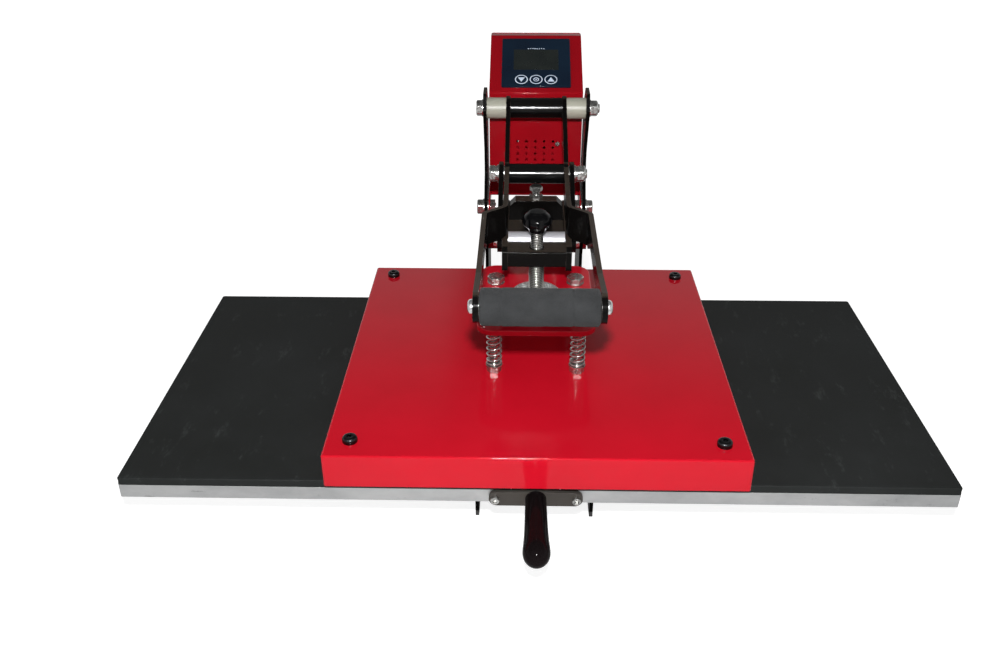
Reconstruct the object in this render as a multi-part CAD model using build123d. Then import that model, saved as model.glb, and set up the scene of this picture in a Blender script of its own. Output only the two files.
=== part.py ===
from build123d import *
import math
import os

# Dual station clamshell heat press.
#
# A heated head on a toggle-closed arm presses one of two padded tables, which slide sideways on
# round shafts. Millimetres, +Z up, the operator stands at -Y. While it is built, the middle of the
# heated head is at X 0, Y 0 and the floor at Z 0. The pieces are then moved along Y, so that the
# origin lies on the floor under the middle of the whole machine.

# Running clearances
pin_clearance = 0.05
joint_gap = 0.3

# Height of each layer, from the floor up
foot_height = 5.0
frame_foot_height = 28.0
base_plate_thickness = 4.0
bearing_block_height = 35.0
bearing_block_gap = 2.2
platen_thickness = 14.4
mat_thickness = 8.4
press_gap = 0.3
platen_drop = 5.0
cover_height = 35.0
plate_rise = 54.0
pressure_plate_thickness = 6.0

# Heated head
cover_size = 400.0
sheet = 1.5
heater_side_gap = 8.5
heater_corner = 6.0
heat_platen_thickness = 16.0
insulation_thickness = 16.0
cover_screw_inset = 24.0
cover_screw_shank = 8.0
cover_screw_socket = 5.0
cover_screw_depth = 10.0
cover_screw_head = 14.5
cover_screw_head_height = 6.0

# Sliding table
table_y = 5.0
table_size = 380.0
table_gap = 47.0
table_corner = 2.0
shaft_diameter = 16.0
shaft_spread = 190.0
shaft_inset = 14.0
shaft_support_thickness = 20.0
shaft_support_width = 36.0
carriage_bar_width = 40.0
carriage_bar_thickness = 6.0
carriage_bar_gap = 5.0

# Front bracket and its handle
bracket_width = 90.0
bracket_height = 16.0
bracket_thickness = 5.0
bracket_screw_spread = 78.0
bracket_screw_head = 8.5
bracket_screw_shank = 5.0
bracket_screw_depth = 10.0
front_handle_length = 89.0
front_handle_root = 20.5
front_handle_swell = 24.5
front_handle_stud = 8.0

# Base
bearing_length = 44.0
bearing_block_width = 50.0
bearing_outer = 28.0
bearing_spread = 64.0
cross_foot_length = 460.0
cross_foot_width = 50.0
cross_foot_thickness = 8.0
front_foot_y = -60.0
rear_foot_y = 250.0
rubber_foot_diameter = 30.0
tip_foot_length = 24.0
frame_tip_reach = 3.0

# Frame plates
frame_width = 124.0
frame_plate = 4.0
frame_rear_y = 305.0

# Pivots of the linkage, as Y and Z
top_pivot = (210.0, 342.0)
mid_pivot = (115.0, 296.0)
arm_pivot = (28.0, 254.0)
hinge_pivot = (232.0, 163.0)
ear_pivot = (205.0, 219.0)

# Linkage plates
crank_half_width = 30.2
crank_plate = 5.0
crank_end_radius = 14.0
link_plate = 5.0
link_end_radius = 13.0
link_washer = 1.3
axle_diameter = 10.0
axle_washer = 2.0
axle_washer_diameter = 20.0
spring_washer = 2.5
spring_washer_diameter = 17.0
hex_across_flats = 17.0
hex_height = 6.5
axle_nut_height = 8.5
axle_thread_end = 2.0
top_sleeve_diameter = 24.0
mid_sleeve_diameter = 22.0
spacer_diameter = 24.3

# Lever handle
handle_width = 112.0
handle_height = 20.0
handle_top_rise = 5.5
handle_eye_radius = 13.5
crank_low_rise = 16.0
shoulder_back_y = 12.0
shoulder_front_y = -9.0
shoulder_bend = 9.0
grip_pivot = (-202.0, 296.0)
grip_diameter = 33.0
grip_rod_diameter = 20.0
grip_screw_head = 13.0

# Press arm
arm_half_width = 36.0
arm_plate = 6.0
nut_block_depth = 27.0
nut_block_height = 17.0
nut_block_top = 258.0
nut_block_front_y = -12.0
arm_tube_diameter = 18.0
stop_block_y = 98.0
stop_block_depth = 16.0
stop_block_height = 23.0
stop_block_chamfer = 7.0
arm_web_top = 247.0
arm_web_thickness = 6.0
stop_bolt_flats = 13.0
stop_bolt_diameter = 8.0
stop_bolt_head = 5.5
stop_bolt_setback = 7.0
hinge_tube_diameter = 24.0
hinge_tube_wall = 3.0
hinge_tube_overhang = 5.0
hinge_bush_wall = 3.0
hinge_boss_radius = 21.0

# Pressure screw and plate
screw_diameter = 15.9
screw_stub_diameter = 13.0
screw_end_depth = 6.0
screw_spigot_diameter = 8.0
screw_spigot_length = 12.0
knob_diameter = 31.0
knob_height = 21.5
knob_base_z = 277.0
knob_hub_diameter = 17.0
knob_lobes = 7
knob_scallop_radius = 4.0
flange_diameter = 51.0
flange_height = 10.0
pressure_plate_width = 121.0
pressure_plate_depth = 152.0
pressure_plate_y = 8.0
pressure_plate_corner = 17.0

# Spring bolts and springs
bolt_spread_x = 87.0
bolt_spread_y = 87.0
bolt_centre_y = -3.0
bolt_diameter = 8.0
bolt_hole_clearance = 0.3
bolt_washer_diameter = 19.0
bolt_washer = 1.6
bolt_head_height = 6.5
spring_nut_height = 7.0
spring_nut_flats = 14.0
spring_seat_washer = 1.5
spring_diameter = 16.5
spring_wire = 2.0
spring_turns = 7.5
spring_end_bend = 2.5

# Control console
console_side_gap = 1.5
console_front_y = 240.0
console_back_y = 345.0
console_bottom_z = 220.0
console_knee_z = 352.0
console_slope_y = 330.0
console_top_z = 399.0
glass_side_margin = 14.5
glass_end_margin = 8.0
glass_thickness = 2.0
glass_seat = 5.0
lcd_side_margin = 11.0
lcd_thickness = 6.0
lcd_depth = 5.5
board_margin = 3.0
board_thickness = 1.6
board_depth = 9.5
vent_columns = 5
vent_rows = 4
vent_pitch_x = 10.9
vent_pitch_z = 7.9
vent_diameter = 3.2
vent_middle_z = 279.5
ear_radius = 12.0
rocker_width = 13.0
rocker_radius = 9.5
rocker_tilt = 8.0
rocker_x = -28.0
rocker_z = 262.0
rocker_pivot_depth = 3.5
rocker_face_reach = 5.5
rocker_back_reach = 2.0
panel_clearance = 0.3
inlet_x = 22.0
inlet_width = 24.0
inlet_height = 16.0
inlet_depth = 13.0
inlet_floor = 3.0
inlet_wall = 1.3
inlet_flange = 3.5
inlet_flange_thickness = 2.0
inlet_pin_pitch = 7.0
inlet_pin_width = 2.0
inlet_pin_height = 4.0
relay_width = 48.0
relay_depth = 26.0
relay_height = 58.0
relay_gap = 14.0
back_screw_inset = 7.0
back_screw_diameter = 3.0
back_screw_head = 6.0
console_bolt_diameter = 10.0
console_bolt_head = 7.0
console_nut_height = 6.0

# Levels that follow from the layers
stop_block_top = arm_web_top + stop_block_height
base_top = foot_height + frame_foot_height + base_plate_thickness
platen_bottom = base_top + bearing_block_height + bearing_block_gap
platen_top = platen_bottom + platen_thickness
mat_top = platen_top + mat_thickness
heat_bottom = mat_top + press_gap
cover_bottom = heat_bottom + platen_drop
cover_top = cover_bottom + cover_height
plate_bottom = cover_top + plate_rise
plate_top = plate_bottom + pressure_plate_thickness
shaft_z = base_top + 20.0

# Places along Y that follow from the sliding table
plate_front_y = table_y - shaft_spread / 2 - bearing_block_width / 2
frame_front_y = plate_front_y - frame_tip_reach
carriage_bar_spread = shaft_spread - bearing_block_width - carriage_bar_width - 2 * carriage_bar_gap

# Widths that follow from what stands beside them
heat_platen_size = cover_size - 2 * (sheet + heater_side_gap)
cover_screw_offset = cover_size / 2 - cover_screw_inset
console_width = frame_width - 2 * (frame_plate + console_side_gap)
slope_length = math.hypot(console_top_z - console_knee_z, console_slope_y - console_front_y)
glass_width = console_width - 2 * glass_side_margin
glass_length = slope_length - 2 * glass_end_margin
lcd_width = glass_width - 2 * lcd_side_margin
lcd_length = glass_length / 2
lcd_rise = glass_length / 6
crank_outer = crank_half_width + crank_plate
link_inner = crank_outer + link_washer
link_outer = link_inner + link_plate
frame_inner = frame_width / 2 - frame_plate
frame_outer = frame_width / 2
arm_inner = arm_half_width - arm_plate
handle_inner = handle_width / 2 - crank_plate
axle_radius = axle_diameter / 2

pieces = {}


def keep(name, *solids):
    """Store one node, made of one or more separate solids."""
    pieces[name] = solids


def box(x, y, z):
    """A box from three (low, high) pairs."""
    size = (x[1] - x[0], y[1] - y[0], z[1] - z[0])
    middle = ((x[0] + x[1]) / 2, (y[0] + y[1]) / 2, (z[0] + z[1]) / 2)
    return Pos(*middle) * Box(*size)


def rod_x(radius, x_low, x_high, place):
    """A round bar along X, at place (Y, Z)."""
    bar = Cylinder(radius, x_high - x_low, align=(Align.CENTER, Align.CENTER, Align.MIN))
    return Pos(x_low, place[0], place[1]) * Rot(0, 90, 0) * bar


def rod_z(radius, z_low, z_high, x=0.0, y=0.0):
    """A round bar along Z."""
    bar = Cylinder(radius, z_high - z_low, align=(Align.CENTER, Align.CENTER, Align.MIN))
    return Pos(x, y, z_low) * bar


def rod_y(radius, y_low, y_high, x=0.0, z=0.0):
    """A round bar along Y."""
    bar = Cylinder(radius, y_high - y_low, align=(Align.CENTER, Align.CENTER, Align.MIN))
    return Pos(x, y_low, z) * Rot(-90, 0, 0) * bar


def tube_x(outer, inner, x_low, x_high, place):
    """A tube along X."""
    return rod_x(outer, x_low, x_high, place) - rod_x(inner, x_low - 1, x_high + 1, place)


def hexagon_x(flats, x_low, x_high, place):
    """A hexagonal prism along X."""
    prism = extrude(RegularPolygon(flats / 2, 6, major_radius=False), x_high - x_low)
    return Pos(x_low, place[0], place[1]) * Rot(0, 90, 0) * prism


def hexagon_z(flats, z_low, z_high, x, y):
    """A hexagonal prism along Z."""
    prism = extrude(RegularPolygon(flats / 2, 6, major_radius=False), z_high - z_low)
    return Pos(x, y, z_low) * prism


def side_plate(points, x_low, x_high, corner):
    """A plate across X, from its outline in Y and Z with rounded corners."""
    face = Plane.YZ * make_face(Polyline(*points, close=True))
    plate = Pos(x_low, 0, 0) * extrude(face, x_high - x_low)
    return fillet(plate.edges().filter_by(Axis.X), corner)


def strap(first, second, radius, x_low, x_high):
    """A flat link with round ends, across X, between two pivots in Y and Z."""
    length = math.dist(first, second)
    turn = math.degrees(math.atan2(second[1] - first[1], second[0] - first[0]))
    middle = ((first[0] + second[0]) / 2, (first[1] + second[1]) / 2)
    bar = extrude(SlotCenterToCenter(length, 2 * radius), x_high - x_low)
    stand = Plane(origin=(x_low, middle[0], middle[1]), x_dir=(0, 1, 0), z_dir=(1, 0, 0))
    return stand * Rot(0, 0, turn) * bar


def both_sides(solid):
    """A solid and its mirror image across the middle of the machine."""
    return solid, mirror(solid, Plane.YZ)


def left_and_right(name, right_solid):
    """A handed pair: the right piece and its mirror image."""
    keep("right_" + name, right_solid)
    keep("left_" + name, mirror(right_solid, Plane.YZ))


def console_plane():
    """The sloping display face: origin at its middle, X across, Y up the slope."""
    rise = console_top_z - console_knee_z
    run = console_slope_y - console_front_y
    middle = (0, (console_front_y + console_slope_y) / 2, (console_knee_z + console_top_z) / 2)
    return Plane(origin=middle, x_dir=(1, 0, 0), z_dir=(0, -rise, run))


def make_frame():
    """The two side plates of the stand, the plates that tie them and the feet."""
    low = foot_height
    shelf = foot_height + frame_foot_height
    rear = frame_rear_y
    nose = top_pivot[1] + 21
    tower_front = hinge_pivot[0] - 17
    outline = [
        (frame_front_y, low), (frame_front_y, shelf - 9), (frame_front_y + 12, shelf),
        (tower_front, shelf), (tower_front, hinge_pivot[1] - 13),
        (ear_pivot[0] - 13, ear_pivot[1] - 6), (ear_pivot[0] - 13, ear_pivot[1] + 12),
        (top_pivot[0] + 6, top_pivot[1] - 82), (top_pivot[0] + 5, top_pivot[1] - 54),
        (top_pivot[0] - 11, top_pivot[1] - 24), (top_pivot[0] - 24, top_pivot[1] + 2),
        (top_pivot[0] - 16, nose), (top_pivot[0] + 14, nose),
        (console_front_y + 12, top_pivot[1] - 6), (console_front_y + 24, ear_pivot[1] + 20),
        (rear - 12, hinge_pivot[1] + 12), (rear, hinge_pivot[1] - 30), (rear, low),
    ]
    plate = side_plate(outline, frame_inner, frame_outer, 3.5)
    plate -= rod_x(axle_radius + pin_clearance, 0, frame_width, top_pivot)
    plate -= rod_x(hinge_tube_diameter / 2, 0, frame_width, hinge_pivot)
    plate -= rod_x(console_bolt_diameter / 2, 0, frame_width, ear_pivot)
    for foot_y in (front_foot_y, rear_foot_y):
        half = cross_foot_width / 2
        plate -= box((0, frame_width), (foot_y - half, foot_y + half), (0, low + cross_foot_thickness))
    left_and_right("frame_plate", plate)

    tie = box((-frame_outer, frame_outer), (plate_front_y, tower_front - 5), (shelf, base_top))
    keep("base_plate", tie)

    feet = []
    for foot_y in (front_foot_y, rear_foot_y):
        half = cross_foot_width / 2
        bar = box((-cross_foot_length / 2, cross_foot_length / 2), (foot_y - half, foot_y + half),
                  (low, low + cross_foot_thickness))
        feet.append(fillet(bar.edges().filter_by(Axis.Z), 8))
    keep("cross_feet", *feet)

    pads = []
    for foot_y in (front_foot_y, rear_foot_y):
        for side in (-1, 1):
            x = side * (cross_foot_length / 2 - rubber_foot_diameter / 2 - 4)
            pad = Cone(rubber_foot_diameter / 2 - 2, rubber_foot_diameter / 2, low,
                       align=(Align.CENTER, Align.CENTER, Align.MIN))
            pads.append(Pos(x, foot_y, 0) * pad)
    for side in (-1, 1):
        x = side * (frame_inner + frame_plate / 2)
        pads.append(box((x - frame_plate / 2, x + frame_plate / 2),
                        (frame_front_y, frame_front_y + tip_foot_length), (0, low)))
    keep("rubber_feet", *pads)

    wall = hinge_tube_diameter / 2 - hinge_tube_wall
    reach = frame_outer + hinge_tube_overhang
    keep("hinge_tube", tube_x(hinge_tube_diameter / 2, wall, -reach, reach, hinge_pivot))


def make_bearings():
    """Four pillow blocks on the base, each with its ball bushing."""
    blocks = []
    sleeves = []
    for side_y in (-1, 1):
        y = table_y + side_y * shaft_spread / 2
        half = bearing_block_width / 2
        for side_x in (-1, 1):
            low = side_x * bearing_spread / 2 - bearing_length / 2
            high = low + bearing_length
            block = box((low, high), (y - half, y + half), (base_top, base_top + bearing_block_height))
            block = fillet(block.edges().filter_by(Axis.X).group_by(Axis.Z)[-1], 6)
            block -= rod_x(bearing_outer / 2, low - 1, high + 1, (y, shaft_z))
            blocks.append(block)
            sleeve = tube_x(bearing_outer / 2, shaft_diameter / 2 + pin_clearance,
                            low + 2, high - 2, (y, shaft_z))
            sleeves.append(sleeve)
    keep("bearing_blocks", *blocks)
    keep("linear_bearings", *sleeves)


def make_table():
    """The two padded platens and everything that slides with them."""
    half = table_size / 2
    inner = table_gap / 2
    outer = inner + table_size
    span_y = (table_y - half, table_y + half)
    platen = box((inner, outer), span_y, (platen_bottom, platen_top))
    platen = fillet(platen.edges().filter_by(Axis.Z), table_corner)
    thread = bracket_screw_shank / 2 + joint_gap
    for side_y in (-1, 1):
        y = table_y + side_y * (shaft_spread / 2)
        platen -= rod_z(thread, platen_bottom - 1, platen_bottom + 10, outer - shaft_inset, y)
    platen -= rod_y(thread, span_y[0] - 1, span_y[0] + bracket_screw_depth + 2,
                    bracket_screw_spread / 2, bracket_z())
    left_and_right("platen", platen)

    mat = box((inner, outer), span_y, (platen_top, mat_top))
    mat = fillet(mat.edges().filter_by(Axis.Z), table_corner)
    mat = fillet(mat.faces().sort_by(Axis.Z)[-1].edges(), 0.8)
    keep("press_mats", *both_sides(mat))

    bars = []
    for side_y in (-1, 1):
        y = table_y + side_y * carriage_bar_spread / 2
        reach = outer - shaft_support_thickness
        wide = carriage_bar_width / 2
        bar = box((-reach, reach), (y - wide, y + wide),
                  (platen_bottom - carriage_bar_thickness, platen_bottom))
        bars.append(fillet(bar.edges().filter_by(Axis.Z), 5))
    keep("carriage_bars", *bars)

    shafts = []
    supports = []
    shaft_end = outer - shaft_inset + shaft_support_thickness / 2
    for side_y in (-1, 1):
        y = table_y + side_y * shaft_spread / 2
        shaft = rod_x(shaft_diameter / 2, -shaft_end, shaft_end, (y, shaft_z))
        shafts.append(chamfer(shaft.edges(), 0.8))
        wide = shaft_support_width / 2
        support = box((shaft_end - shaft_support_thickness, shaft_end), (y - wide, y + wide),
                      (shaft_z - shaft_diameter / 2 - 5, platen_bottom))
        support = fillet(support.edges().filter_by(Axis.X).group_by(Axis.Z)[0], 8)
        support -= rod_x(shaft_diameter / 2, 0, 2 * shaft_end, (y, shaft_z))
        supports.extend(both_sides(support))
    keep("guide_shafts", *shafts)
    keep("shaft_supports", *supports)


def bracket_z():
    """Height of the bracket's middle, on the front faces of the platens."""
    return platen_bottom + platen_thickness / 2


def make_table_handle():
    """The bracket that joins the platens in front, its screws and the turned handle."""
    front = table_y - table_size / 2
    face = front - bracket_thickness
    z = bracket_z()
    slot = SlotOverall(bracket_width, bracket_height)
    stand = Plane(origin=(0, front, z), x_dir=(1, 0, 0), z_dir=(0, -1, 0))
    bracket = stand * extrude(slot, bracket_thickness)
    half = bracket_screw_spread / 2
    shank_radius = bracket_screw_shank / 2
    head_height = 0.8 * bracket_screw_shank
    for side in (-1, 1):
        bracket -= rod_y(shank_radius + pin_clearance, face - 1, front + 1, side * half, z)
    bracket -= rod_y(front_handle_stud / 2, face - 1, front + 1, 0, z)
    keep("front_bracket", bracket)

    screws = []
    for side in (-1, 1):
        head = rod_y(bracket_screw_head / 2, face - head_height, face, side * half, z)
        head = fillet(head.edges().group_by(Axis.Y)[0], head_height / 4)
        shank = rod_y(shank_radius, face, front + bracket_screw_depth, side * half, z)
        socket = Pos(side * half, face - head_height, z) * Rot(90, 0, 0) * extrude(
            RegularPolygon(0.4 * bracket_screw_shank, 6, major_radius=False), -0.55 * head_height)
        screws.append(head + shank - socket)
    keep("bracket_screws", *screws)

    tip = front_handle_length
    root = front_handle_root / 2
    swell = front_handle_swell / 2
    with BuildLine() as outline:
        Line((0, 0), (root, 0))
        Spline((root, 0), (root + 0.4, tip * 0.3), (swell, tip * 0.74), (swell * 0.88, tip * 0.92),
               (0, tip), tangents=((0, 1), (-1, 0)))
        Line((0, tip), (0, 0))
    turned = revolve(make_face(outline.line), Axis.Y)
    knob = Pos(0, face, z) * Rot(0, 0, 180) * turned
    stud = rod_y(front_handle_stud / 2, face, front, 0, z)
    keep("front_handle", knob + stud)


def make_heated_head():
    """The cast heater plate, its insulation, the pressed cover and their fasteners."""
    half = cover_size / 2
    cover = box((-half, half), (-half, half), (cover_bottom, cover_top))
    cover = fillet(cover.edges().filter_by(Axis.Z), 2.5)
    cover = fillet(cover.faces().sort_by(Axis.Z)[-1].edges(), 2.0)
    inner = half - sheet
    hollow = box((-inner, inner), (-inner, inner), (cover_bottom - 1, cover_top - sheet))
    cover -= fillet(hollow.edges().filter_by(Axis.Z), 1.0)
    for x, y in cover_screw_places():
        cover -= rod_z(cover_screw_shank / 2 + pin_clearance, cover_bottom, cover_top + 1, x, y)
    for x, y in bolt_places():
        cover -= rod_z(bolt_diameter / 2, cover_bottom, cover_top + 1, x, y)
    keep("heat_cover", cover)

    wide = heat_platen_size / 2
    heater_top = heat_bottom + heat_platen_thickness
    heater = box((-wide, wide), (-wide, wide), (heat_bottom, heater_top))
    heater = fillet(heater.edges().filter_by(Axis.Z), heater_corner)
    board = box((-wide, wide), (-wide, wide), (heater_top, heater_top + insulation_thickness))
    screw_tip = heater_top - cover_screw_depth
    thread = cover_screw_shank / 2
    for x, y in cover_screw_places() + bolt_places():
        heater -= rod_z(thread, screw_tip, heater_top + 1, x, y)
        board -= rod_z(1.5 * thread, heater_top - 1, heater_top + insulation_thickness + 1, x, y)
    keep("heat_platen", heater)
    keep("insulation_board", board)

    screws = []
    for x, y in cover_screw_places():
        head = rod_z(cover_screw_head / 2, cover_top, cover_top + cover_screw_head_height, x, y)
        head = fillet(head.edges().group_by(Axis.Z)[-1], cover_screw_head_height / 2)
        socket = hexagon_z(cover_screw_socket, cover_top + cover_screw_head_height / 2,
                           cover_top + cover_screw_head_height + 1, x, y)
        shank = rod_z(thread, screw_tip, cover_top, x, y)
        screws.append(head + shank - socket)
    keep("cover_screws", *screws)

    nut_top = cover_top + spring_nut_height
    bolts = []
    nuts = []
    for x, y in bolt_places():
        washer_top = plate_top + bolt_washer
        shank = rod_z(bolt_diameter / 2, screw_tip, washer_top, x, y)
        washer = rod_z(bolt_washer_diameter / 2, plate_top, washer_top, x, y)
        head = hexagon_z(hex_across_flats, washer_top, washer_top + bolt_head_height, x, y)
        crown = rod_z(hex_across_flats * 0.55, washer_top, washer_top + bolt_head_height, x, y)
        crown = chamfer(crown.edges().group_by(Axis.Z)[-1], 1.2)
        bolts.append(shank + washer + (head & crown))
        nut = hexagon_z(spring_nut_flats, cover_top, nut_top, x, y)
        seat = rod_z(spring_diameter / 2 + 0.5, nut_top, nut_top + spring_seat_washer, x, y)
        bore = rod_z(bolt_diameter / 2, cover_top - 1, plate_bottom, x, y)
        nuts.append(nut + seat - bore)
    keep("spring_bolts", *bolts)
    keep("spring_nuts", *nuts)


def cover_screw_places():
    """Middles of the four screws that hold the cover."""
    return [(x * cover_screw_offset, y * cover_screw_offset) for x in (-1, 1) for y in (-1, 1)]


def bolt_places():
    """Middles of the four spring bolts."""
    return [(x * bolt_spread_x / 2, bolt_centre_y + y * bolt_spread_y / 2)
            for x in (-1, 1) for y in (-1, 1)]


def biarc(start, start_dir, end, end_dir):
    """Two arcs that join two points and leave and reach them in the given directions."""
    across = end - start
    both = start_dir + end_dir
    spread = 2 * (1 - start_dir.dot(end_dir))
    along = across.dot(both)
    reach = (-along + math.sqrt(along * along + spread * across.dot(across))) / spread
    joint = (start + end + (start_dir - end_dir) * reach) * 0.5
    first = TangentArc(start, joint, tangent=start_dir)
    return [first, TangentArc(joint, end, tangent=first % 1)]


def spring_path(z_low, z_high):
    """The middle line of one spring: straight ends, a bend at each, and the coil.

    The bends take some height, which depends on the lead angle, which depends on the height that
    is left for the coil: the two settle in a few rounds.
    """
    radius = (spring_diameter - spring_wire) / 2
    bend = spring_end_bend
    rise = z_high - z_low - 2 * spring_wire
    lead = 0.0
    for _ in range(20):
        coil_rise = rise - 2 * bend * math.cos(lead)
        lead = math.atan(coil_rise / (2 * math.pi * radius * spring_turns))

    def coil_point(turn):
        angle = 2 * math.pi * turn
        height = z_low + spring_wire + bend * math.cos(lead) + coil_rise * turn / spring_turns
        return Vector(radius * math.cos(angle), radius * math.sin(angle), height)

    def coil_dir(turn):
        angle = 2 * math.pi * turn
        return Vector(-math.sin(angle) * math.cos(lead), math.cos(angle) * math.cos(lead),
                      math.sin(lead))

    up = Vector(0, 0, 1)
    edges = []
    halves = round(2 * spring_turns)
    first = coil_point(0)
    back = Vector(0, 1, 0) * (bend * (1 - math.sin(lead)))
    foot = Vector(first.X, first.Y, z_low + spring_wire) - back
    edges.append(Line(foot - up * spring_wire, foot))
    edges.append(TangentArc(foot, first, tangent=up))
    for half in range(halves):
        a = half * spring_turns / halves
        b = (half + 1) * spring_turns / halves
        edges.extend(biarc(coil_point(a), coil_dir(a), coil_point(b), coil_dir(b)))
    last = coil_point(spring_turns)
    flat = coil_dir(spring_turns)
    flat = Vector(flat.X, flat.Y, 0).normalized()
    top = Vector(last.X, last.Y, z_high - spring_wire) + flat * (bend * (1 - math.sin(lead)))
    edges.append(TangentArc(last, top, tangent=coil_dir(spring_turns)))
    edges.append(Line(top, top + up * spring_wire))
    return edges


def least_gap(edges, wire):
    """The smallest clear gap between stretches of a wire that aren't neighbours."""
    points = []
    distance = 0.0
    for edge in edges:
        count = max(2, int(edge.length / 0.8))
        for i in range(count):
            points.append((distance + edge.length * i / count, edge @ (i / count)))
        distance += edge.length
    apart = 4 * wire
    gap = 1e9
    for i, (s, p) in enumerate(points):
        for t, q in points[i + 1:]:
            if t - s > apart:
                gap = min(gap, (p - q).length)
    return gap - wire


def make_springs():
    """Four compression springs between the cover's nuts and the pressure plate."""
    low = cover_top + spring_nut_height + spring_seat_washer
    edges = spring_path(low, plate_bottom)
    path = Wire(edges)
    section = Plane(origin=path @ 0, z_dir=(0, 0, 1)) * Circle(spring_wire / 2)
    coil = sweep(section, path=path)
    print("spring gap %.2f, tube volume over section times length %.4f" % (
        least_gap(edges, spring_wire), coil.volume / (path.length * math.pi * spring_wire ** 2 / 4)))
    springs = []
    for x, y in bolt_places():
        turn = 90 if y > bolt_centre_y else -90
        springs.append(Pos(x, y, 0) * Rot(0, 0, turn) * coil)
    keep("head_springs", *springs)


def make_pressure_parts():
    """The plate above the springs, the thrust flange, the screw and its knob."""
    plate = extrude(Rectangle(pressure_plate_width, pressure_plate_depth), pressure_plate_thickness)
    plate = fillet(plate.edges().filter_by(Axis.Z), pressure_plate_corner)
    plate = Pos(0, pressure_plate_y, plate_bottom) * plate
    plate = fillet(plate.faces().sort_by(Axis.Z)[-1].edges(), 1.0)
    for x, y in bolt_places():
        plate -= rod_z(bolt_diameter / 2 + bolt_hole_clearance, plate_bottom - 1, plate_top + 1, x, y)
    keep("pressure_plate", plate)

    flange_top = plate_top + flange_height
    flange = rod_z(flange_diameter / 2, plate_top, flange_top)
    flange = chamfer(flange.edges().group_by(Axis.Z)[-1], 1.0)
    flange -= rod_z(screw_diameter / 2 + pin_clearance, flange_top - screw_end_depth, flange_top + 1)
    for turn in range(4):
        angle = math.radians(45 + 90 * turn)
        reach = flange_diameter / 2 - 7
        x = reach * math.cos(angle)
        y = reach * math.sin(angle)
        flange -= rod_z(3.5, flange_top - 3.5, flange_top + 1, x, y)
    keep("thrust_flange", flange)

    screw_bottom = flange_top - screw_end_depth
    body = rod_z(screw_diameter / 2, screw_bottom, nut_block_top)
    body = chamfer(body.edges().group_by(Axis.Z)[0], 0.8)
    stub = rod_z(screw_stub_diameter / 2, nut_block_top, knob_base_z)
    spigot_top = knob_base_z + screw_spigot_length
    spigot = rod_z(screw_spigot_diameter / 2, knob_base_z, spigot_top)
    keep("pressure_screw", body + stub + spigot)
    keep("pressure_knob", star_knob() - rod_z(screw_spigot_diameter / 2, knob_base_z - 1, spigot_top))


def star_knob():
    """A moulded star knob: a hub below, a domed head with finger scallops above."""
    hub = knob_hub_diameter / 2
    rim = knob_diameter / 2
    top = knob_height
    with BuildLine() as outline:
        Line((0, 0), (hub, 0))
        Spline((hub, 0), (rim, top * 0.45), (rim * 0.94, top * 0.72), (rim * 0.62, top * 0.94),
               (0, top), tangents=((0.35, 1), (-1, 0)))
        Line((0, top), (0, 0))
    knob = Pos(0, 0, knob_base_z) * revolve(Plane.XZ * make_face(outline.line), Axis.Z)
    reach = rim + 0.55 * knob_scallop_radius
    for lobe in range(knob_lobes):
        angle = 2 * math.pi * (lobe + 0.5) / knob_lobes
        knob -= rod_z(knob_scallop_radius, knob_base_z, knob_base_z + top + 1,
                      reach * math.cos(angle), reach * math.sin(angle))
    return knob


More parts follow.
